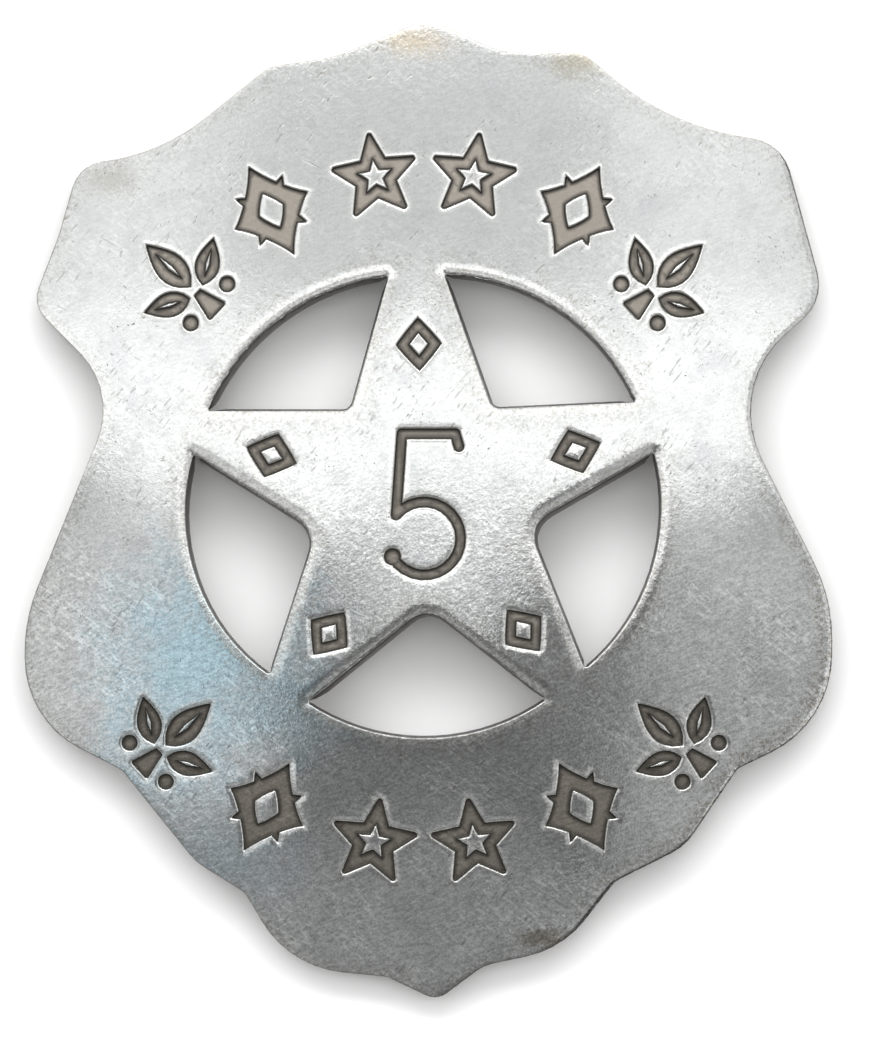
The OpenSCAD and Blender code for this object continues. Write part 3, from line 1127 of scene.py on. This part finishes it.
    def shape(self, piece: Workpiece, rims: dict[Rim, RimLine]) -> Array:
        """Rounds the rims by their distance from every point, domes the plate and stores the distances.

        Args:
            piece: The flattened plate.
            rims: The rims of the face.

        Returns:
            The shading normals: those of the upper surfaces, and zero at the rims and everywhere else.
        """
        flat = piece.points
        level = flat[:, 2].copy()
        on_face = level > -self.mark_depth / 2
        on_floor = ~on_face & (level > -2 * self.mark_depth)
        on_back = ~on_face & ~on_floor
        near = {rim: line.nearest(flat) for rim, line in rims.items()}
        edge_gap = np.minimum(near[Rim.OPENING][0], near[Rim.OUTLINE][0])
        lean = np.zeros((len(flat), 2))
        for rim, rounding in self.roundings.items():
            gap, away = near[rim]
            share = on_face * self.wear(rim, away)
            flat[:, 2] -= rounding.fall(gap) * share
            lean -= away * (rounding.steepness(gap) * share)[:, None]
        mark_gap, from_mark = near[Rim.MARK]
        flat[:, 2] += self.fillet.fall(mark_gap) * on_floor + self.under.fall(edge_gap) * on_back
        lean += from_mark * (self.fillet.steepness(mark_gap) * on_floor)[:, None]
        piece.store(DEPTH, -flat[:, 2] / MM)
        for rim, (gap, _) in near.items():
            inside_mark = on_floor & (rim == Rim.MARK)
            piece.store(rim.value, gap / MM * np.where(inside_mark, -1, 1))
        points = self.dome.raise_up(flat)
        low, low_slope = self.unevenness(points)
        points[:, 2] -= low * ~on_back
        piece.points = points
        upright = points - np.array(self.dome.centre)
        normals = upright / upright[:, 2:]
        normals[:, :2] += lean + low_slope
        normals /= np.linalg.norm(normals, axis=1)[:, None]
        normals[on_back | (np.minimum(mark_gap, edge_gap) < self.rim_reach)] = 0
        return normals

    def wear(self, rim: Rim, away: Array) -> Array:
        """How fully a rim is rounded, which depends on the side on which the face lies.

        The openings are worn most on the edges that look towards the badge's foot, and the outline on its
        right side.

        Args:
            rim: The kind of rim.
            away: The unit vectors that lead from the rim to points on the face, one a row.

        Returns:
            The share of the full rounding at each point, from 0 to 1.
        """
        if rim == Rim.OPENING:
            least, level_share, gain = self.opening_wear
            return np.clip(level_share + gain * away[:, 1], least, 1)
        if rim == Rim.OUTLINE:
            least, loss = self.outline_wear
            return np.clip(least - away[:, 0] + loss * np.minimum(0, away[:, 1]), least, 1)
        return np.ones(len(away))

    def unevenness(self, points: Array) -> tuple[Array, Array]:
        """How far each point of the face lies low, from dents and slight waves.

        Args:
            points: Points of the domed plate, one a row.

        Returns:
            How far each point lies low, and the slope of that along x and y.
        """
        step = 0.05 * MM
        low = self.sink(points)
        slopes = [(self.sink(points + offset) - low) / step for offset in ((step, 0, 0), (0, step, 0))]
        return low, np.stack(slopes, axis=1)

    def sink(self, points: Array) -> Array:
        """How far each point lies low."""
        waves = np.array([noise.noise(Vector((x, y, 0)) / self.wave_length) for x, y, _ in points])
        return sum(dent.shift(points) for dent in self.dents) + self.waviness * waves


@dataclass
class BackPin(Part):
    """The clasp behind the star: hinge, straight wire and catch, one plain piece."""

    name: str = "clasp_pin"
    node: str = "back_pin"
    slot: str = "pin_metal"
    metal: DullNickel = DullNickel()
    rounding: float = 0.12 * MM
    flat_angle: float = math.radians(1)
    bevel_angle: float = math.radians(50)
    smooth_angle: float = math.radians(40)

    def model(self, piece: Workpiece) -> None:
        """Rounds the clasp's edges.

        Args:
            piece: The copy of the CAD node.
        """
        piece.merge_and_dissolve(CUT_GAP, self.flat_angle)
        piece.apply("BEVEL", width=self.rounding, segments=2, limit_method="ANGLE",
                    angle_limit=self.bevel_angle, use_clamp_overlap=True)
        piece.smooth(self.smooth_angle)


@dataclass(frozen=True)
class Panel:
    """A level soft lamp above the badge, given by the directions that it fills as seen from there.

    The angles are in degrees from straight up, to the right and away towards the badge's top.
    """

    name: str
    left: float
    right: float
    near: float
    far: float
    radiance: float
    height: float = 0.80

    def hang(self) -> None:
        """Adds the lamp to the scene."""
        left, right, near, far = (self.height * math.tan(math.radians(angle))
                                  for angle in (self.left, self.right, self.near, self.far))
        place = Vector(((left + right) / 2, (near + far) / 2, self.height))
        hang_lamp(self.name, place, place - Vector((0, 0, 1)), (right - left, far - near), self.radiance)


@dataclass(frozen=True)
class SideCard:
    """A low soft lamp that stands beside the table and faces the badge."""

    name: str
    direction: float
    elevation: float
    distance: float
    width: float
    height: float
    radiance: float

    def hang(self) -> None:
        """Adds the lamp to the scene."""
        turn, rise = math.radians(self.direction), math.radians(self.elevation)
        place = self.distance * Vector((math.cos(turn), math.sin(turn), math.tan(rise)))
        hang_lamp(self.name, place, Vector((0, 0, 0)), (self.width, self.height), self.radiance)


def hang_lamp(name: str, place: Vector, target: Vector, size: Pair, radiance: float) -> None:
    """Adds a rectangular area lamp that the camera doesn't see.

    Args:
        name: The lamp's name.
        place: The middle of the lamp.
        target: The point that it faces.
        size: Its width and height.
        radiance: How bright it looks from the badge.
    """
    data = bpy.data.lights.new(name, "AREA")
    data.shape = "RECTANGLE"
    data.size, data.size_y = size
    data.energy = radiance * math.pi * size[0] * size[1]
    lamp = bpy.data.objects.new(name, data)
    lamp.location = place
    lamp.rotation_euler = (target - place).to_track_quat("-Z", "Y").to_euler()
    lamp.visible_camera = False
    bpy.context.scene.collection.objects.link(lamp)


@dataclass
class Studio:
    """The pale table, the soft lamps and the camera straight above."""

    table_size: float = 3.0
    table_tint: Colour = (0.96, 0.96, 0.96)
    table_roughness: float = 0.9
    overhead_light: float = 0.03
    horizon_light: float = 0.45
    dark_above: float = 0.72
    pale_below: float = 0.40
    view_height: float = 73.65 * MM
    view_centre: Pair = (0.50 * MM, -0.71 * MM)
    camera_height: float = 0.60
    focus_height: float = 2.5 * MM
    sensor: float = 36.0
    clip: Pair = (0.01, 10.0)
    lamps: tuple[Panel | SideCard, ...] = (
        Panel("strip", -30, 30, 3, 13.5, 2.35),
        Panel("strip_low", -20, 20, 1, 3, 2.35),
        Panel("strip_left", -12, -5, -1.5, 1, 2.3),
        Panel("strip_middle", -5, 5, -1.5, 1, 1.2),
        Panel("strip_right", 5, 12, -1.5, 1, 2.3),
        Panel("fill_left", -30, -14, 13.5, 34, 1.75),
        Panel("fill_middle", -14, 12, 13.5, 34, 1.28),
        Panel("fill_right", 12, 30, 13.5, 34, 1.73),
        Panel("key", -46, 36, 34, 51, 6.6),
        Panel("upper_left", -60, -31, 3, 34, 1.7),
        Panel("upper_right", 31, 60, 3, 34, 1.4),
        Panel("edge_left", -58, -32, -28, 3, 0.8),
        Panel("edge_right", 31, 58, -36, 3, 1.3),
        Panel("lower_left", -30, -11, -19.5, 1, 1.20),
        Panel("middle_left", -11, -6, -7, -1.5, 0.5),
        Panel("middle", -6, 6, -5, -1.5, 0.82),
        Panel("low_middle", -6, 6, -10, -5, 1.6),
        Panel("middle_right", 6, 14, -7, -1.5, 0.2),
        Panel("dim_middle", -11, 13, -11, -8, 0.42),
        Panel("dark_middle", -11, 13, -22, -11, 0.25),
        Panel("lower_right", 14, 30, -8, 1, 0.98),
        Panel("dim_right", 13, 30, -24, -8, 0.72),
        Panel("front_left", -30, -9, -35, -19.5, 0.58),
        Panel("front", -9, 9, -35, -22, 0.47),
        Panel("front_right", 9, 30, -35, -24, 0.62),
        Panel("far_front", -25, 25, -50, -35, 0.3),
        SideCard("card_right", 0, 15, 0.9, 1.2, 0.17, 1.15),
        SideCard("card_back", 90, 20, 0.9, 1.2, 0.34, 0.45),
        SideCard("card_left", 180, 15, 0.9, 1.2, 0.17, 0.85),
        SideCard("card_front", 270, 15, 0.9, 1.2, 0.17, 0.45),
    )

    def build(self) -> None:
        """Adds the table, the lamps, the room's light and the camera."""
        self.lay_table()
        for lamp in self.lamps:
            lamp.hang()
        world = bpy.data.worlds.new("soft_room")
        world.use_nodes = True
        self.light_room(world.node_tree)
        bpy.context.scene.world = world
        bpy.context.scene.view_settings.view_transform = "Standard"
        self.set_camera()

    def light_room(self, tree: Tree) -> None:
        """Makes the room dark overhead, round the lamps, and pale near the horizon.

        The limits are heights of a unit vector, from 0 at the horizon to 1 overhead.

        Args:
            tree: The world's nodes.
        """
        wiring = Wiring(tree)
        direction = wiring.add("TexCoord").outputs["Generated"]
        height = wiring.add("SeparateXYZ", {0: direction}).outputs["Z"]
        background = tree.nodes["Background"]
        wiring.join((1.0, 1.0, 1.0), background.inputs["Color"])
        light = wiring.fade(height, self.dark_above, self.pale_below, self.overhead_light,
                            self.horizon_light)
        wiring.join(light, background.inputs["Strength"])

    def lay_table(self) -> None:
        """Adds the plain pale table top."""
        bpy.ops.object.select_all(action="DESELECT")
        bpy.ops.mesh.primitive_plane_add(size=self.table_size)
        table = bpy.context.object
        table.name = "table_top"
        material, shader = new_material("pale_table")
        shader["Base Color"].default_value = (*self.table_tint, 1)
        shader["Roughness"].default_value = self.table_roughness
        table.data.materials.append(material)

    def set_camera(self) -> None:
        """Adds the camera, which looks straight down and takes in the photograph's frame."""
        data = bpy.data.cameras.new("camera")
        data.sensor_width = self.sensor
        data.lens = self.sensor * (self.camera_height - self.focus_height) / self.view_height
        data.clip_start, data.clip_end = self.clip
        camera = bpy.data.objects.new("camera", data)
        camera.location = (*self.view_centre, self.camera_height)
        bpy.context.scene.collection.objects.link(camera)
        bpy.context.scene.camera = camera


def main() -> None:
    """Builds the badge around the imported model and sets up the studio."""
    logging.basicConfig(level=logging.INFO, format="%(name)s: %(message)s")
    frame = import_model()
    effects = Effects()
    for part in (BadgePlate(), BackPin()):
        piece = part.build(frame, effects)
        LOG.info("%s: %d faces", part.name, len(piece.mesh.polygons))
    Studio().build()


if __name__ == "__main__":
    main()
